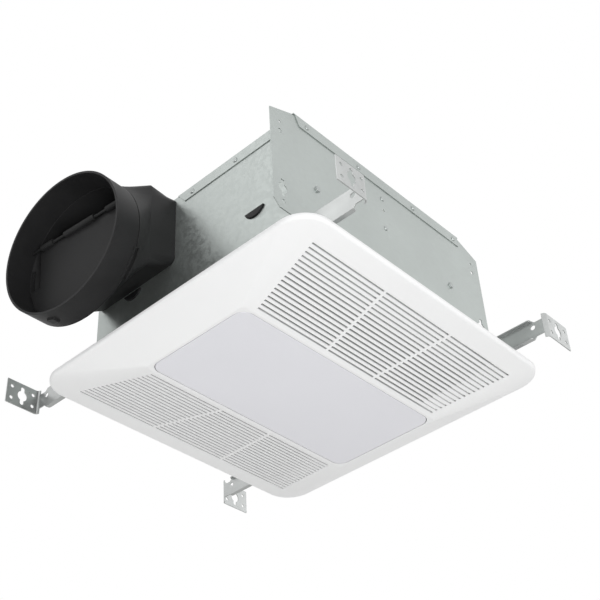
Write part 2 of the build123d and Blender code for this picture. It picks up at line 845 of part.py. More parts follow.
with BuildPart() as motor_case_lower:
    with BuildSketch(Plane.XY.offset(motor_low)):
        with Locations((fan_x, fan_y)):
            Circle(motor_case_r)
    extrude(amount=motor_h / 2)
    fillet(motor_case_lower.edges().filter_by(GeomType.CIRCLE).group_by(Axis.Z)[0], radius=2)
    with BuildSketch(Plane.XY.offset(motor_mid)):
        with Locations((fan_x, fan_y)):
            Circle(motor_case_r - motor_case_t)
    extrude(amount=motor_case_t - motor_h / 2, mode=Mode.SUBTRACT)
    with BuildSketch(Plane.XY.offset(motor_low)):
        with Locations((fan_x, fan_y)):
            Circle(shaft_r + 1)
    extrude(amount=motor_case_t, mode=Mode.SUBTRACT)
save(motor_case_lower, "motor_case_lower")

with BuildPart() as stator_core:
    with BuildSketch(Plane.XY.offset(motor_mid - stator_h / 2)):
        with Locations((fan_x, fan_y)):
            Circle(motor_case_r - motor_case_t)
            Circle(stator_in, mode=Mode.SUBTRACT)
    extrude(amount=stator_h)
save(stator_core, "stator_core")

with BuildPart() as stator_windings:
    for low in (motor_mid - stator_h / 2 - winding_h, motor_mid + stator_h / 2):
        with BuildSketch(Plane.XY.offset(low)):
            with Locations((fan_x, fan_y)):
                Circle(motor_case_r - motor_case_t - 3)
                Circle(stator_in + 2, mode=Mode.SUBTRACT)
        extrude(amount=winding_h)
save(stator_windings, "stator_windings")

with BuildPart() as motor_bearings:
    for low in (motor_low + motor_case_t, motor_top - motor_case_t - bearing_h):
        with BuildSketch(Plane.XY.offset(low)):
            with Locations((fan_x, fan_y)):
                Circle(bearing_r)
                Circle(shaft_r + shaft_fit, mode=Mode.SUBTRACT)
        extrude(amount=bearing_h)
save(motor_bearings, "motor_bearings")

# Motor plate: closes the top of the spiral and carries the motor on grommets
plate_low = spiral_top
with BuildPart() as motor_plate:
    with BuildSketch(Plane.XY.offset(plate_low)):
        with BuildLine():
            spiral_outline()
        make_face()
        offset(amount=scroll_t, kind=Kind.INTERSECTION)
        with Locations((-inner_x, base_y)):
            Rectangle(2 * scroll_t, 2 * base_w, align=(Align.MAX, Align.CENTER), mode=Mode.SUBTRACT)
    extrude(amount=motor_plate_t)
    top_frames = [facing((f.origin.X, f.origin.Y, plate_low + motor_plate_t), (0, 0, 1)) for f in foot_frames]
    drill(top_frames, screw_r + hole_fit, 2 * motor_plate_t)
save(motor_plate, "motor_plate")

with BuildPart() as motor_grommets:
    for frame in foot_frames:
        with BuildSketch(frame):
            Circle(grommet_r)
            Circle(screw_r + hole_fit, mode=Mode.SUBTRACT)
        extrude(amount=plate_low - motor_top)
save(motor_grommets, "motor_grommets")

fasteners(
    "motor_screws",
    top_frames,
    screw_r,
    plate_low + motor_plate_t - motor_top + motor_case_t,
    screw_head_r,
    1.2,
    screw_head_r - 0.6,
    1.6,
)
fasteners(
    "blower_screws",
    [floor_front[0]] + floor_rear,
    screw_r - 0.35,
    2 * sheet + lug_t,
    screw_head_r,
    screw_head_h,
)
fasteners("collar_screws", collar_frames, collar_screw_r, sheet + collar_screw_l, 1.7 * collar_screw_r, 1.2)

# Capacitor and its strap, on the inside of the front plate
with BuildPart() as capacitor:
    with BuildSketch(across_y(-inner_y)):
        with Locations((0, capacitor_z)):
            RectangleRounded(capacitor_w, capacitor_h, 3)
    extrude(amount=-capacitor_d)
save(capacitor, "capacitor")

with BuildPart() as capacitor_strap:
    reach = capacitor_h / 2
    with BuildSketch(Plane.YZ.offset(-strap_w / 2)):
        with BuildLine():
            Polyline(
                (-inner_y, capacitor_z + reach + strap_t + strap_foot),
                (-inner_y, capacitor_z + reach),
                (-inner_y + capacitor_d, capacitor_z + reach),
                (-inner_y + capacitor_d, capacitor_z - reach),
                (-inner_y, capacitor_z - reach),
                (-inner_y, capacitor_z - reach - strap_t - strap_foot),
                (-inner_y + strap_t, capacitor_z - reach - strap_t - strap_foot),
                (-inner_y + strap_t, capacitor_z - reach - strap_t),
                (-inner_y + capacitor_d + strap_t, capacitor_z - reach - strap_t),
                (-inner_y + capacitor_d + strap_t, capacitor_z + reach + strap_t),
                (-inner_y + strap_t, capacitor_z + reach + strap_t),
                (-inner_y + strap_t, capacitor_z + reach + strap_t + strap_foot),
                close=True,
            )
        make_face()
    extrude(amount=strap_w)
    drill(strap_frames, rivet_r + hole_fit, 2 * sheet + 2 * strap_t)
save(capacitor_strap, "capacitor_strap")
fasteners(
    "strap_rivets", strap_frames, rivet_r, sheet + strap_t, rivet_head_r, rivet_head_h, 1.4 * rivet_r, 0.7
)

# Wiring box: a steel cup open downwards, and the cover with its two sockets
cover_screw = facing((wiring_x - wiring_w / 2 + cover_screw_in, wiring_y, wiring_low), (0, 0, -1))
with BuildPart() as wiring_box:
    with BuildSketch(Plane.XY.offset(wiring_low + wiring_t)):
        with Locations((wiring_x, wiring_y)):
            Rectangle(wiring_w, wiring_d)
    extrude(amount=wiring_h)
    with BuildSketch(Plane.XY.offset(wiring_low + wiring_t)):
        with Locations((wiring_x, wiring_y)):
            Rectangle(wiring_w - 2 * wiring_t, wiring_d - 2 * wiring_t)
    extrude(amount=wiring_h - wiring_t, mode=Mode.SUBTRACT)
    with BuildSketch(Plane.XY.offset(wiring_low + wiring_t)):
        with Locations((wiring_x - wiring_w / 2, wiring_y)):
            Rectangle(2 * cover_screw_in, wiring_d, align=(Align.MIN, Align.CENTER))
    extrude(amount=wiring_t)
    drill([cover_screw], screw_r + hole_fit, 3 * wiring_t)
    side_frame = facing((wiring_x + wiring_w / 2, wiring_y, inlet_hole_z), (1, 0, 0))
    drill([side_frame], inlet_hole_r, 2 * wiring_t)
    drill([floor_front[1]], screw_r - 0.3, 3 * sheet)
save(wiring_box, "wiring_box")

socket_frames = [
    facing((wiring_x + s * socket_pitch / 2, wiring_y, wiring_low), (0, 0, -1)) for s in (-1, 1)
]
with BuildPart() as wiring_cover:
    with BuildSketch(Plane.XY.offset(wiring_low)):
        with Locations((wiring_x, wiring_y)):
            Rectangle(wiring_w, wiring_d)
            with Locations((-socket_pitch / 2, 0), (socket_pitch / 2, 0)):
                Rectangle(socket_w - 4, socket_d - 4, mode=Mode.SUBTRACT)
    extrude(amount=wiring_t)
    drill([cover_screw], screw_r + hole_fit, 2 * wiring_t)
save(wiring_cover, "wiring_cover")
fasteners("cover_screw", [cover_screw], screw_r, 6, screw_head_r, screw_head_h)
fasteners("wiring_box_screw", [floor_front[1]], screw_r - 0.35, 3 * sheet + 3, screw_head_r, screw_head_h)

for index, name in enumerate(("light_socket", "fan_socket")):
    with BuildPart() as socket:
        with BuildSketch(socket_frames[index]):
            Rectangle(socket_w, socket_d)
        extrude(amount=socket_h - 5)
        with BuildSketch(socket_frames[index]):
            Rectangle(socket_w - 4 - 2 * hole_fit, socket_d - 4 - 2 * hole_fit)
        extrude(amount=-5)
        with BuildSketch(socket_frames[index].offset(socket_h - 5)):
            with GridLocations(7, 0, index + 2, 1):
                Rectangle(3, 7)
        extrude(amount=-6, mode=Mode.SUBTRACT)
    save(socket, name)

# Clamp for the supply cable, in the side of the wiring box
with BuildPart() as cable_clamp:
    clamp_plane = facing((wall_x, wiring_y, inlet_hole_z), (1, 0, 0))
    inward = wall_x - wiring_x - wiring_w / 2 + wiring_t
    with BuildSketch(clamp_plane):
        Circle(inlet_hole_r + 3)
        Circle(inlet_hole_r - clamp_wall, mode=Mode.SUBTRACT)
    extrude(amount=clamp_out)
    with BuildSketch(clamp_plane):
        Circle(inlet_hole_r - hole_fit)
        Circle(inlet_hole_r - clamp_wall, mode=Mode.SUBTRACT)
    extrude(amount=-inward - 3)
save(cable_clamp, "cable_clamp")

# Grille shell: lip, hipped slopes and a flat frame round the lens
flat_x = lens_x + 2 * flat_margin
flat_y = lens_y + 2 * flat_margin
flat_z = -grille_drop
slot_slope = (slot_half_far - slot_half_near) / ((slot_rows - 1) * slot_pitch)
bridge_slope = (bridge_far - bridge_near) / ((slot_rows - 1) * slot_pitch)
with BuildPart() as grille:
    with BuildSketch(Plane.XY):
        with Locations((0, grille_y)):
            RectangleRounded(grille_w, grille_w, grille_corner)
    extrude(amount=-grille_lip)
    with BuildSketch(Plane.XY.offset(-grille_lip)):
        with Locations((0, grille_y)):
            RectangleRounded(grille_w, grille_w, grille_corner)
    with BuildSketch(Plane.XY.offset(flat_z)):
        with Locations((0, grille_y)):
            RectangleRounded(flat_x, flat_y, 5)
    loft(ruled=True)
    lip_edges = grille.edges().filter_by_position(Axis.Z, -grille_lip - 0.01, -grille_lip + 0.01)
    fillet(lip_edges, radius=grille_edge)
    hollow_z = grille_edge - grille_lip - grille_shoulder
    inner_w = grille_w - 2 * grille_t
    with BuildSketch(Plane.XY):
        with Locations((0, grille_y)):
            RectangleRounded(inner_w, inner_w, grille_corner - grille_t)
    extrude(amount=hollow_z, mode=Mode.SUBTRACT)
    with BuildSketch(Plane.XY.offset(hollow_z)):
        with Locations((0, grille_y)):
            RectangleRounded(inner_w, inner_w, grille_corner - grille_t)
    with BuildSketch(Plane.XY.offset(flat_z + grille_t)):
        with Locations((0, grille_y)):
            RectangleRounded(flat_x + 8, flat_y + 12, 5)
    loft(ruled=True, mode=Mode.SUBTRACT)
    with BuildSketch(Plane.XY):
        with Locations((0, grille_y)):
            RectangleRounded(
                lens_x + 2 * lens_groove, lens_y + 2 * lens_groove, lens_corner + lens_groove
            )
    extrude(amount=2 * flat_z, mode=Mode.SUBTRACT)
    with BuildSketch(Plane.XY):
        for side in (-1, 1):
            for row in range(slot_rows):
                out = row * slot_pitch
                half = slot_half_near + slot_slope * out
                bridge = bridge_near + bridge_slope * out
                with Locations((0, grille_y + side * (slot_first + out))):
                    Rectangle(2 * bridge - bridge_w, slot_w)
                    with GridLocations(half + bridge + bridge_w / 2, 0, 2, 1):
                        Rectangle(half - bridge - bridge_w / 2, slot_w)
    extrude(amount=2 * flat_z, mode=Mode.SUBTRACT)
save(grille, "grille")

# Lens: a frosted panel with a lip that lies on the inside of the grille
lens_back = flat_z + grille_t
tray_low = lens_back + lens_lip_t
tray_top = tray_low + tray_h
pan_x = lens_x - 2 * tray_inset
pan_y = lens_y - 2 * tray_inset
tray_frames = [
    facing((sx * (lens_x + lens_lip) / 2, grille_y + sy * lens_y / 3, tray_low + tray_t), (0, 0, 1))
    for sx in (-1, 1)
    for sy in (-1, 1)
]
with BuildPart() as light_lens:
    with BuildSketch(Plane.XY.offset(flat_z)):
        with Locations((0, grille_y)):
            RectangleRounded(lens_x, lens_y, lens_corner)
    extrude(amount=grille_t)
    chamfer(light_lens.edges().group_by(Axis.Z)[0], length=0.4)
    with BuildSketch(Plane.XY.offset(lens_back)):
        with Locations((0, grille_y)):
            RectangleRounded(lens_x + 2 * lens_lip, lens_y + 2 * lens_lip, 4)
    extrude(amount=lens_lip_t)
    drill(tray_frames, rivet_r + hole_fit, tray_t + lens_lip_t)
save(light_lens, "light_lens")

# Light tray: a shallow steel pan over the lens
with BuildPart() as light_tray:
    with BuildSketch(Plane.XY.offset(tray_low)):
        with Locations((0, grille_y)):
            RectangleRounded(pan_x + 2 * tray_flange, pan_y + 2 * tray_flange, 5)
    extrude(amount=tray_t)
    with BuildSketch(Plane.XY.offset(tray_low)):
        with Locations((0, grille_y)):
            RectangleRounded(pan_x, pan_y, 5)
    extrude(amount=tray_h)
    with BuildSketch(Plane.XY.offset(tray_low)):
        with Locations((0, grille_y)):
            RectangleRounded(pan_x - 2 * tray_t, pan_y - 2 * tray_t, 5 - tray_t)
    extrude(amount=tray_h - tray_t, mode=Mode.SUBTRACT)
    drill(tray_frames, rivet_r + hole_fit, 2 * tray_t)
save(light_tray, "light_tray")
fasteners("tray_screws", tray_frames, rivet_r, tray_t + lens_lip_t, screw_head_r - 1, 1.2)

strip_y = pan_y / strip_count
with BuildPart() as lamp_strips:
    for k in range(strip_count):
        with BuildSketch(Plane.XY.offset(tray_top - tray_t)):
            with Locations((0, grille_y + (k - (strip_count - 1) / 2) * strip_y)):
                Rectangle(strip_l, strip_w)
        extrude(amount=-strip_t)
save(lamp_strips, "lamp_strips")

with BuildPart() as lamp_chips:
    with BuildSketch(Plane.XY.offset(tray_top - tray_t - strip_t)):
        with Locations((0, grille_y)):
            with GridLocations(strip_l / chip_count, strip_y, chip_count, strip_count):
                Rectangle(chip, chip)
    extrude(amount=-chip_t)
save(lamp_chips, "lamp_chips")

with BuildPart() as lamp_driver:
    with BuildSketch(Plane.XY.offset(tray_top)):
        with Locations((driver_x, grille_y)):
            RectangleRounded(driver_l, driver_w, 3)
    extrude(amount=driver_h)
    fillet(lamp_driver.edges().group_by(Axis.Z)[-1], radius=1.5)
    with BuildSketch(Plane.XY.offset(tray_top)):
        with Locations((driver_x, grille_y)):
            Rectangle(driver_l + 16, 12)
    extrude(amount=1.6)
save(lamp_driver, "lamp_driver")


def coil_path(x, y, z):
    """Spring turns along X, as half turns that each lean to the next."""
    half = coil_pitch / 2
    start = x - coil_turns * coil_pitch / 2
    for k in range(2 * coil_turns):
        sign = 1 if k % 2 == 0 else -1
        ThreePointArc(
            (start + k * half, y, z - sign * coil_r),
            (start + (k + 0.5) * half, y + sign * coil_r, z),
            (start + (k + 1) * half, y, z + sign * coil_r),
        )


coil_gap = coil_pitch - 2 * wire_r
print(f"spring coil: gap between turns {coil_gap:.2f} mm")
coil_half = coil_turns * coil_pitch / 2
arm_off = coil_half + 2 * wire_r + arm_gap
ear_off = arm_off + wire_r + arm_gap
slot_half_w = wire_r + slot_air

# Springs, hooks and arms on both sides: name, side of the housing
for name, side in (("left", -1), ("right", 1)):
    x0 = side * spring_x
    with BuildPart() as spring_coil:
        with BuildLine() as turns:
            coil_path(x0, grille_y, spring_z)
        with BuildSketch(Plane(origin=(x0 - coil_half, grille_y, spring_z - coil_r), z_dir=(0, 1, 0))):
            Circle(wire_r)
        sweep(path=turns.wires()[0])
    save(spring_coil, f"spring_coil_{name}")

    with BuildPart() as spring_hook:
        with BuildSketch(Plane.XY.offset(tray_top)):
            with Locations((x0, grille_y)):
                Rectangle(2 * ear_off + 2 * hook_t, hook_w)
        extrude(amount=hook_t)
        for end in (-1, 1):
            with BuildSketch(across_x(x0 + end * (ear_off + hook_t / 2) - hook_t / 2)):
                with Locations((grille_y, tray_top)):
                    Rectangle(hook_w, spring_z - tray_top, align=(Align.CENTER, Align.MIN))
                with Locations((grille_y, spring_z)):
                    Circle(hook_w / 2)
            extrude(amount=hook_t)
        with BuildSketch(across_x(x0 - ear_off)):
            with Locations((grille_y, spring_z)):
                Circle(hook_pin_r)
        extrude(amount=2 * ear_off)
    save(spring_hook, f"spring_hook_{name}")

    for arm_name, arm_side in (("front", -1), ("rear", 1)):
        lean_rad = radians(arm_lean)
        direction = Vector(0, arm_side * sin(lean_rad), cos(lean_rad))
        outward = Vector(0, arm_side * cos(lean_rad), -sin(lean_rad))
        centre = Vector(x0 + arm_side * side * arm_off, grille_y, spring_z)
        foot = centre + outward * coil_r
        elbow = foot + direction * arm_l
        tip = elbow + Vector(0, arm_side, 0) * arm_tip
        far_side = centre - outward * coil_r
        under = centre - direction * coil_r
        with BuildPart() as spring_arm:
            with BuildLine() as wire:
                ThreePointArc(far_side, under, foot)
                FilletPolyline(foot, elbow, tip, radius=3)
            with BuildSketch(Plane(origin=far_side, z_dir=direction * -1)):
                Circle(wire_r)
            sweep(path=wire.wires()[0])
        save(spring_arm, f"spring_arm_{name}_{arm_name}")

    # wall bracket with one slot for each arm
    with BuildPart() as slot_bracket:
        depth = inner_x - spring_x + arm_off + slot_half_w + 4
        with BuildSketch(Plane.XY.offset(bracket_z)):
            with Locations((side * inner_x, grille_y)):
                Rectangle(
                    depth,
                    bracket_w,
                    align=(Align.MIN if side < 0 else Align.MAX, Align.CENTER),
                )
            for arm_side in (-1, 1):
                slot_mid = arm_side * (slot_near + slot_far) / 2
                with Locations((x0 + arm_side * side * arm_off, grille_y + slot_mid)):
                    Rectangle(2 * slot_half_w, slot_far - slot_near, mode=Mode.SUBTRACT)
        extrude(amount=bracket_t)
        with BuildSketch(across_x(side * (inner_x - bracket_t / 2) - bracket_t / 2)):
            with Locations((grille_y, bracket_z)):
                Rectangle(bracket_w, bracket_foot, align=(Align.CENTER, Align.MIN))
        extrude(amount=bracket_t)
        drill(bracket_rivets, rivet_r + hole_fit, 2 * sheet + bracket_t)
    save(slot_bracket, f"spring_bracket_{name}")

fasteners(
    "bracket_rivets",
    bracket_rivets,
    rivet_r,
    sheet + bracket_t,
    rivet_head_r,
    0.5,
    1.4 * rivet_r,
    rivet_head_h,
)

# Hanger rails: a hat section outside each side wall, with a foot above and below
rail_web = wall_x + rail_t + bar_flange + bar_t + 2 * bar_play
for name, side in (("left", -1), ("right", 1)):
    with BuildPart() as hanger_rail:
        with BuildSketch(across_y(rail_l / 2)):
            with BuildLine():
                wall = side * wall_x
                foot = side * (wall_x + rail_t)
                web = side * rail_web
                skin = side * (rail_web + rail_t)
                Polyline(
                    (wall, rail_top + rail_foot),
                    (foot, rail_top + rail_foot),
                    (foot, rail_top),
                    (skin, rail_top),
                    (skin, rail_low),
                    (foot, rail_low),
                    (foot, rail_low - rail_foot),
                    (wall, rail_low - rail_foot),
                    (wall, rail_low + rail_t),
                    (web, rail_low + rail_t),
                    (web, rail_top - rail_t),
                    (wall, rail_top - rail_t),
                    close=True,
                )
            make_face()
        extrude(amount=rail_l)
        drill([f for f in rail_rivets if f.z_dir.X * side > 0], rivet_r + hole_fit, 2 * rail_t)
        locks = [facing((skin, s * lock_y, bar_z), (side, 0, 0)) for s in (-1, 1)]
        drill(locks, lock_r + hole_fit, 2 * rail_t)
    save(hanger_rail, f"hanger_rail_{name}")

lock_frames = [
    facing((side * (rail_web + rail_t), s * lock_y, bar_z), (side, 0, 0)) for side in (-1, 1) for s in (-1, 1)
]
fasteners("lock_screws", lock_frames, lock_r, rail_t + bar_play - 0.2, lock_head_r, lock_head_h)
fasteners(
    "rail_rivets", rail_rivets, rivet_r, rail_t + sheet, rivet_head_r, rivet_head_h, 1.4 * rivet_r, 0.7
)

# Hanger bars: a channel open towards the housing, with a neck and a bent end plate
bar_web = rail_web - bar_play
bar_ends = {
    ("left", "front"): bar_end_front,
    ("right", "front"): bar_end_front,
    ("left", "rear"): bar_end_rear_left,
    ("right", "rear"): bar_end_rear_right,
}
for side_name, side in (("left", -1), ("right", 1)):
    web_in, web_out = side * (bar_web - bar_t), side * bar_web
    flange_in, plate_out = side * (bar_web - bar_flange - bar_t), side * (bar_web + plate_w)
    for end_name, end in (("front", -1), ("rear", 1)):
        bar_end = bar_ends[(side_name, end_name)]
        inner_end = end * bar_inner
        flange_end = end * (bar_end - neck_l)
        neck_start = flange_end + end * (bar_h - neck_h) / 2
        neck_end = end * (bar_end - bar_t - bend_r)
        plate_in, plate_face = end * (bar_end - bar_t), end * bar_end
        with BuildPart() as hanger_bar:
            with BuildSketch(Plane.XY.offset(bar_z - plate_h / 2)) as strip:
                Polygon(
                    (web_in, inner_end),
                    (web_out, inner_end),
                    (web_out, plate_in),
                    (plate_out, plate_in),
                    (plate_out, plate_face),
                    (web_in, plate_face),
                    align=None,
                )
                inside = strip.vertices().sort_by_distance((web_out, plate_in, 0))[0]
                fillet(inside, radius=bend_r)
                outside = strip.vertices().sort_by_distance((web_in, plate_face, 0))[0]
                fillet(outside, radius=bend_r + bar_t)
            extrude(amount=plate_h)
            with BuildSketch(across_x(min(web_in, web_out))):
                for up in (-1, 1):
                    Polygon(
                        (inner_end - end, bar_z + up * plate_h),
                        (inner_end - end, bar_z + up * bar_h / 2),
                        (flange_end, bar_z + up * bar_h / 2),
                        (neck_start, bar_z + up * neck_h / 2),
                        (neck_end, bar_z + up * neck_h / 2),
                        (neck_end, bar_z + up * plate_h),
                        align=None,
                    )
                with Locations((end * (bar_end - web_hole_in), bar_z + web_hole_up)):
                    Circle(web_hole_r)
            extrude(amount=bar_t, mode=Mode.SUBTRACT)
            for z in (bar_z - bar_h / 2, bar_z + bar_h / 2 - bar_t):
                with BuildSketch(Plane.XY.offset(z)) as flange:
                    Polygon(
                        (flange_in, inner_end),
                        (web_out, inner_end),
                        (web_out, flange_end),
                        (flange_in, flange_end),
                        align=None,
                    )
                    corner = flange.vertices().sort_by_distance((flange_in, flange_end, 0))[0]
                    fillet(corner, radius=bar_flange - bar_t)
                extrude(amount=bar_t)
            with BuildSketch(across_y(plate_face)):
                with Locations((side * (bar_web + plate_w / 2), bar_z)):
                    Circle(key_r)
                    SlotOverall(key_slot_l, key_slot_w, rotation=90)
                    with GridLocations(plate_hole_x, plate_hole_z, 2, 2):
                        Circle(plate_hole_r)
            extrude(amount=end * bar_t, mode=Mode.SUBTRACT)
        save(hanger_bar, f"hanger_bar_{side_name}_{end_name}")
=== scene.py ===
"""Looks of the ceiling exhaust fan: camera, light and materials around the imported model."""

import json
import math

import bpy
from mathutils import Matrix, Vector


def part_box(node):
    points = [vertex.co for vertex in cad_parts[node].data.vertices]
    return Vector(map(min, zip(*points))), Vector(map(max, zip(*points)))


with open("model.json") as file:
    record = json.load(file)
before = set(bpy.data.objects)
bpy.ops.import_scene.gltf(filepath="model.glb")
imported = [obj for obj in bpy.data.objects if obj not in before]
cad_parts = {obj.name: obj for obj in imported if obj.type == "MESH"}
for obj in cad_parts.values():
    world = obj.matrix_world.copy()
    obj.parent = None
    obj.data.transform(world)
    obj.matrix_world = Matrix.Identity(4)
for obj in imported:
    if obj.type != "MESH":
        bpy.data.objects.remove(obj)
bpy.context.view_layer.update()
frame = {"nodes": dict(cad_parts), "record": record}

# The photograph's camera, which looks up at the fan from its -X, -Y corner.
# Lengths are in metres, and angles in degrees: from +X, above level, and about the line of sight.
CAMERA_AT = (-0.69316, -0.61847, -0.62823)
CAMERA_HEADING = 40.694
CAMERA_LIFT = 37.9955
CAMERA_ROLL = -3.51
FOCAL_PX = 1170.126
IMAGE_PX = 600
SENSOR_MM = 36.0
NEAREST = 0.01
FARTHEST = 50

# Strength of the world's even light on the part, and of the background that the camera sees
FILL = 0.68
WHITE = 1.0

# The floor lies well below the part
FLOOR_Z = -1.25
FLOOR_HALF = 6.0

# The grille's outer face: how high its lip stands, and how far the hidden lip of the lens
# reaches past the flat that frames the lens
GRILLE_LIP = 0.0044
LENS_PAST_FLAT = 0.0038

# Painted shade that darkens the colour in the grille's slots: its darkness, and the depths in metres
# between which it sets in
PAINTED_SLOT_DARKNESS = 0.8
PAINTED_SHADE_FROM = 0.0003
PAINTED_SHADE_FULL = 0.002

# For the painted slot shade: how far around a point its openness is measured, and which openness counts
# as closed or open
GAP_REACH = 0.004
GAP_CLOSED = 0.5
GAP_OPEN = 0.8

# The wave texture makes about one band per unit at this scale
ONE_BAND = 0.318


def add_camera():
    """Creates the camera from its place and its three angles."""
    data = bpy.data.cameras.new("camera")
    data.sensor_width = SENSOR_MM
    data.lens = FOCAL_PX / IMAGE_PX * SENSOR_MM
    data.clip_start = NEAREST
    data.clip_end = FARTHEST
    camera = bpy.data.objects.new("camera", data)
    bpy.context.scene.collection.objects.link(camera)
    # Before it is turned, a camera looks straight down with +Y at the top of its picture
    turn = Matrix.Rotation(math.radians(CAMERA_HEADING - 90), 4, "Z")
    turn @= Matrix.Rotation(math.radians(CAMERA_LIFT + 90), 4, "X")
    turn @= Matrix.Rotation(math.radians(CAMERA_ROLL), 4, "Z")
    camera.matrix_world = Matrix.Translation(CAMERA_AT) @ turn
    bpy.context.scene.camera = camera


def background(tree, strength):
    """White light of one strength from everywhere."""
    made = tree.nodes.new("ShaderNodeBackground")
    made.inputs["Color"].default_value = (1, 1, 1, 1)
    made.inputs["Strength"].default_value = strength
    return made.outputs[0]


def add_world():
    """Even studio light, and a white background for the camera and for what metal mirrors."""
    world = bpy.data.worlds.new("studio")
    bpy.context.scene.world = world
    world.use_nodes = True
    tree = world.node_tree
    tree.nodes.clear()
    path = tree.nodes.new("ShaderNodeLightPath")
    seen = path.outputs["Is Camera Ray"]
    for ray in ("Is Glossy Ray", "Is Transmission Ray"):
        either = tree.nodes.new("ShaderNodeMath")
        either.operation = "MAXIMUM"
        tree.links.new(seen, either.inputs[0])
        tree.links.new(path.outputs[ray], either.inputs[1])
        seen = either.outputs[0]
    mix = tree.nodes.new("ShaderNodeMixShader")
    tree.links.new(seen, mix.inputs[0])
    tree.links.new(background(tree, FILL), mix.inputs[1])
    tree.links.new(background(tree, WHITE), mix.inputs[2])
    out = tree.nodes.new("ShaderNodeOutputWorld")
    tree.links.new(mix.outputs[0], out.inputs["Surface"])


def add_lamp(name, at, aim, side, watts):
    """A square soft box at a place, turned to what it lights."""
    data = bpy.data.lights.new(name, "AREA")
    data.shape = "SQUARE"
    data.size = side
    data.energy = watts
    lamp = bpy.data.objects.new(name, data)
    bpy.context.scene.collection.objects.link(lamp)
    lamp.location = at
    lamp.rotation_euler = (Vector(at) - Vector(aim)).to_track_quat("Z", "Y").to_euler()


def add_light():
    """Fills the room evenly, lights the grille from below, and models the steel with weak lamps."""
    add_world()
    add_lamp("key", at=(-0.7, -1.05, -1.1), aim=(0, 0, 0.05), side=1.1, watts=22)
    add_lamp("side", at=(1.2, -1.0, 0.3), aim=(0, 0, 0.05), side=1.0, watts=2)
    add_lamp("rear", at=(-1.25, 0.64, 1.32), aim=(0, 0, 0.1), side=0.5, watts=0.7)


class Shade:
    """A node material in the making: one principled shader and helpers that feed it."""

    def __init__(self, name, colour, rough, metal=0.0, **sockets):
        self.mat = bpy.data.materials.new(name)
        self.mat.use_nodes = True
        self.tree = self.mat.node_tree
        self.bsdf = self.tree.nodes["Principled BSDF"]
        self.colour = colour
        self.roughness = rough
        self.normal = None
        self.put("Base Color", (*colour, 1))
        self.put("Roughness", rough)
        self.put("Metallic", metal)
        for key, value in sockets.items():
            self.put(key.replace("_", " "), value)

    def put(self, socket, value):
        """Sets a socket of the principled shader."""
        self.bsdf.inputs[socket].default_value = value

    def link(self, source, socket):
        self.tree.links.new(source, socket)

    def node(self, kind, **values):
        """Adds a node with its settings and sockets, which are written with _ for a space."""
        made = self.tree.nodes.new(kind)
        for key, value in values.items():
            socket = key.replace("_", " ")
            if socket in made.inputs:
                made.inputs[socket].default_value = value
            else:
                setattr(made, key, value)
        return made

    def calc(self, operation, a, b=0.0):
        """One math node: each operand is a socket or a number."""
        made = self.node("ShaderNodeMath", operation=operation)
        for socket, operand in zip(made.inputs, (a, b)):
            if isinstance(operand, float):
                socket.default_value = operand
            else:
                self.link(operand, socket)
        return made.outputs[0]

    def ramp(self, value, first, last, start=0.3, stop=0.7):
        """Runs from first to last as a value runs from start to stop, as most noise does by default."""
        made = self.node("ShaderNodeMapRange", From_Min=start, From_Max=stop, To_Min=first, To_Max=last)
        self.link(value, made.inputs["Value"])
        return made.outputs["Result"]

    def place(self, stretch=(1, 1, 1)):
        """Object coordinates in metres, stretched for grain that runs one way."""
        where = self.node("ShaderNodeTexCoord")
        mapping = self.node("ShaderNodeMapping", Scale=stretch)
        self.link(where.outputs["Object"], mapping.inputs["Vector"])
        return mapping.outputs["Vector"]

    def noise(self, scale, detail=2.0, stretch=(1, 1, 1)):
        """Soft clouds or grain, from 0 to 1."""
        made = self.node("ShaderNodeTexNoise", Scale=scale, Detail=detail)
        self.link(self.place(stretch), made.inputs["Vector"])
        return made.outputs["Fac"]

    def cells(self, scale):
        """Patches with sharp borders, each with its own number from 0 to 1."""
        made = self.node("ShaderNodeTexVoronoi", Scale=scale)
        self.link(self.place(), made.inputs["Vector"])
        split = self.node("ShaderNodeSeparateColor")
        self.link(made.outputs["Color"], split.inputs[0])
        return split.outputs[0]

    def crevice(self, reach):
        """How open a point is within a reach in metres: near 1 on a free face, lower in a slot."""
        made = self.node("ShaderNodeAmbientOcclusion", Distance=reach, samples=8)
        return made.outputs["AO"]

    def tint(self, *factors):
        """Multiplies the base colour by one or more varying factors."""
        product = factors[0]
        for other in factors[1:]:
            product = self.calc("MULTIPLY", product, other)
        scale = self.node("ShaderNodeVectorMath", operation="SCALE")
        scale.inputs[0].default_value = self.colour
        self.link(product, scale.inputs["Scale"])
        self.link(scale.outputs["Vector"], self.bsdf.inputs["Base Color"])

    def vary_rough(self, value, less, more):
        """Lets the roughness run from less below the given one to more above it."""
        varied = self.ramp(value, self.roughness - less, self.roughness + more)
        self.link(varied, self.bsdf.inputs["Roughness"])

    def soft_edges(self, radius):
        """Rounds the look of sharp edges, as a moulded or folded piece has them."""
        made = self.node("ShaderNodeBevel", samples=4, Radius=radius)
        self.normal = made.outputs["Normal"]
        self.link(self.normal, self.bsdf.inputs["Normal"])

    def bump(self, value, height, strength):
        """Adds relief of a height in metres, on top of soft edges where there are some."""
        made = self.node("ShaderNodeBump", Strength=strength, Distance=height)
        self.link(value, made.inputs["Height"])
        if self.normal is not None:
            self.link(self.normal, made.inputs["Normal"])
        self.link(made.outputs["Normal"], self.bsdf.inputs["Normal"])


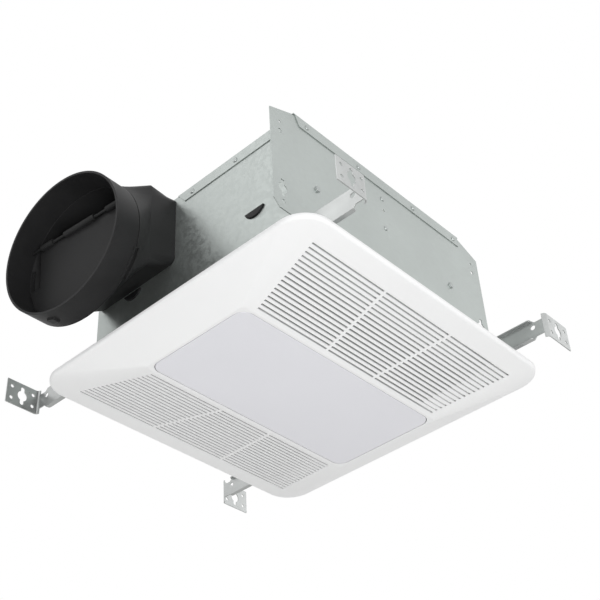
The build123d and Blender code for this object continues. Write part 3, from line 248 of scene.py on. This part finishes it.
def sheet_steel(name, colour, rough, metal):
    """Galvanised sheet: faint spangle, cloudy zinc tone, fine rolling lines."""
    s = Shade(name, colour, rough, metal)
    s.soft_edges(radius=0.0005)
    spangle = s.cells(scale=260)
    cloud = s.noise(scale=14, detail=3)
    lines = s.noise(scale=90, stretch=(1, 1, 22))
    zinc = s.ramp(spangle, 0.97, 1.03, start=0, stop=1)
    s.tint(zinc, s.ramp(cloud, 0.96, 1.03), s.ramp(lines, 0.985, 1.01))
    s.vary_rough(spangle, less=0.05, more=0.05)
    s.bump(lines, height=0.00002, strength=0.5)
    return s.mat


def plated_steel(name, colour, rough, metal, stretch=(1, 1, 1)):
    """Zinc plated steel: brighter, with drawn or rolled lines along the strip or wire."""
    s = Shade(name, colour, rough, metal)
    s.soft_edges(radius=0.0004)
    lines = s.noise(scale=160, stretch=stretch)
    cloud = s.noise(scale=40)
    s.tint(s.ramp(lines, 0.95, 1.03), s.ramp(cloud, 0.92, 1.04))
    s.vary_rough(lines, less=0.03, more=0.05)
    s.bump(lines, height=0.000004, strength=0.4)
    return s.mat


def painted_slot_shade(s):
    """Mask of the painted shade: 0 on the grille's outer face, rising to 1 towards the inner end of its
    slots.
    """
    low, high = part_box("grille")
    lens_low, lens_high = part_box("light_lens")
    where = s.node("ShaderNodeSeparateXYZ")
    s.link(s.place(), where.inputs[0])
    slopes = []
    for axis, letter in enumerate("XY"):
        middle = (low[axis] + high[axis]) / 2
        half = (high[axis] - low[axis]) / 2
        flat_half = (lens_high[axis] - lens_low[axis]) / 2 - LENS_PAST_FLAT
        steepness = (-low.z - GRILLE_LIP) / (half - flat_half)
        off = s.calc("ABSOLUTE", s.calc("SUBTRACT", where.outputs[letter], middle))
        slopes.append(s.calc("MULTIPLY", s.calc("SUBTRACT", off, flat_half), steepness))
    rise = s.calc("MAXIMUM", s.calc("MAXIMUM", *slopes), 0.0)
    depth = s.calc("SUBTRACT", where.outputs["Z"], s.calc("ADD", rise, low.z))
    painted_depth_shade = s.ramp(depth, 0.0, 1.0, start=PAINTED_SHADE_FROM, stop=PAINTED_SHADE_FULL)
    closed = s.ramp(s.crevice(GAP_REACH), 1.0, 0.0, start=GAP_CLOSED, stop=GAP_OPEN)
    return s.calc("MULTIPLY", painted_depth_shade, closed)


def fine_grained(name, colour, rough, grain=0.00002, edge=0.0006, slots=False):
    """Moulded, painted or printed surfaces: fine grain, flow marks, soft edges, painted shade in slots.
    """
    s = Shade(name, colour, rough)
    s.soft_edges(radius=edge)
    speck = s.noise(scale=1800)
    flow = s.noise(scale=9, detail=3)
    tones = [s.ramp(flow, 0.985, 1.01), s.ramp(speck, 0.99, 1.01)]
    # Painted shade: the base colour darkens deep in the grille's slots, where shade falls
    if slots:
        tones.append(s.ramp(painted_slot_shade(s), 1.0, 1.0 - PAINTED_SLOT_DARKNESS, start=0, stop=1))
    s.tint(*tones)
    s.vary_rough(speck, less=0.04, more=0.05)
    s.bump(speck, height=grain, strength=0.6)
    return s.mat


def satin_black(name, colour, rough):
    """Black collar plastic: satin, with moulding marks and dust-dulled patches."""
    s = Shade(name, colour, rough, Specular_IOR_Level=0.2)
    s.soft_edges(radius=0.0006)
    speck = s.noise(scale=1500)
    flow = s.noise(scale=18, detail=4)
    s.tint(s.ramp(flow, 0.8, 1.35), s.ramp(speck, 0.9, 1.1))
    s.vary_rough(flow, less=0.03, more=0.13)
    s.bump(speck, height=0.00003, strength=0.6)
    return s.mat


def ringed(name, colour, rough, metal, pitch, depth):
    """Turned, stacked or wound surfaces: rings of one pitch, one above the other."""
    s = Shade(name, colour, rough, metal)
    wave = s.node("ShaderNodeTexWave", bands_direction="Z", Scale=ONE_BAND, Distortion=0.2)
    s.link(s.place((0, 0, 1.0 / pitch)), wave.inputs["Vector"])
    rings = wave.outputs["Fac"]
    patch = s.noise(scale=120)
    s.tint(s.ramp(rings, 0.75, 1.05, start=0, stop=1), s.ramp(patch, 0.92, 1.05))
    s.vary_rough(patch, less=0.05, more=0.08)
    s.bump(rings, height=depth, strength=0.8)
    return s.mat


# Stretch of the noise for lines that run along a wire in X or a strip in Y
ALONG_X = (0.1, 1, 1)
ALONG_Y = (1, 0.06, 1)

# The finish of each material slot of the record, by the function that makes it
SHEET = {
    "galvanised_sheet": dict(colour=(0.46, 0.495, 0.48), rough=0.36, metal=0.8),
}
PLATED = {
    "bright_steel": dict(colour=(0.53, 0.545, 0.54), rough=0.3, metal=0.78, stretch=ALONG_Y),
    "fastener_steel": dict(colour=(0.46, 0.49, 0.48), rough=0.38, metal=0.8),
    "spring_wire": dict(colour=(0.55, 0.55, 0.57), rough=0.2, metal=1.0, stretch=ALONG_X),
}
BLACK = {
    "black_plastic": dict(colour=(0.018, 0.018, 0.0185), rough=0.45),
}
FINE = {
    "white_plastic": dict(colour=(0.86, 0.863, 0.868), rough=0.42, slots=True),
    "lens_plastic": dict(colour=(0.76, 0.76, 0.8), rough=0.36, grain=0.00001, edge=0.0004),
    "white_metal": dict(colour=(0.84, 0.84, 0.83), rough=0.34, grain=0.00003, edge=0.0004),
    "circuit_board": dict(colour=(0.8, 0.82, 0.78), rough=0.3, grain=0.00001, edge=0.0002),
    "lamp_chip": dict(colour=(0.86, 0.74, 0.22), rough=0.25, grain=0.00001, edge=0.0002),
    "black_rubber": dict(colour=(0.02, 0.02, 0.02), rough=0.75, grain=0.00004, edge=0.0008),
    "capacitor_case": dict(colour=(0.7, 0.7, 0.66), rough=0.3, grain=0.00001, edge=0.0005),
}
RINGED = {
    "motor_steel": dict(colour=(0.12, 0.125, 0.13), rough=0.4, metal=0.3, pitch=0.012, depth=0.00002),
    "lamination": dict(colour=(0.3, 0.31, 0.33), rough=0.4, metal=0.9, pitch=0.0005, depth=0.00006),
    "copper_winding": dict(colour=(0.62, 0.26, 0.12), rough=0.32, metal=0.7, pitch=0.0008, depth=0.0002),
    "bearing_steel": dict(colour=(0.5, 0.5, 0.52), rough=0.18, metal=1.0, pitch=0.002, depth=0.00001),
    "shaft_steel": dict(colour=(0.55, 0.55, 0.57), rough=0.2, metal=1.0, pitch=0.0009, depth=0.000005),
    "aluminium_rotor": dict(colour=(0.5, 0.5, 0.52), rough=0.35, metal=1.0, pitch=0.0006, depth=0.00004),
}
MAKERS = (
    (sheet_steel, SHEET),
    (plated_steel, PLATED),
    (satin_black, BLACK),
    (fine_grained, FINE),
    (ringed, RINGED),
)


def dress():
    """Makes each finish once and gives it to the pieces that the record names for it."""
    made = {}
    for make, finishes in MAKERS:
        for name, values in finishes.items():
            made[name] = make(name, **values)
    for part in frame["record"]["subparts"]:
        for slot in frame["nodes"][part["node"]].material_slots:
            slot.material = made[part["material_slot"]]


def add_floor():
    """Pale floor for the views from above and from the side."""
    mesh = bpy.data.meshes.new("floor")
    corners = [(x * FLOOR_HALF, y * FLOOR_HALF, FLOOR_Z) for x, y in ((-1, -1), (1, -1), (1, 1), (-1, 1))]
    mesh.from_pydata(corners, [], [(0, 1, 2, 3)])
    floor = bpy.data.objects.new("floor", mesh)
    bpy.context.scene.collection.objects.link(floor)
    s = Shade("floor", (0.82, 0.82, 0.81), 0.8)
    s.tint(s.ramp(s.noise(scale=3), 0.98, 1.01))
    mesh.materials.append(s.mat)


add_camera()
add_light()
dress()
add_floor()
bpy.context.scene.view_settings.view_transform = "Standard"
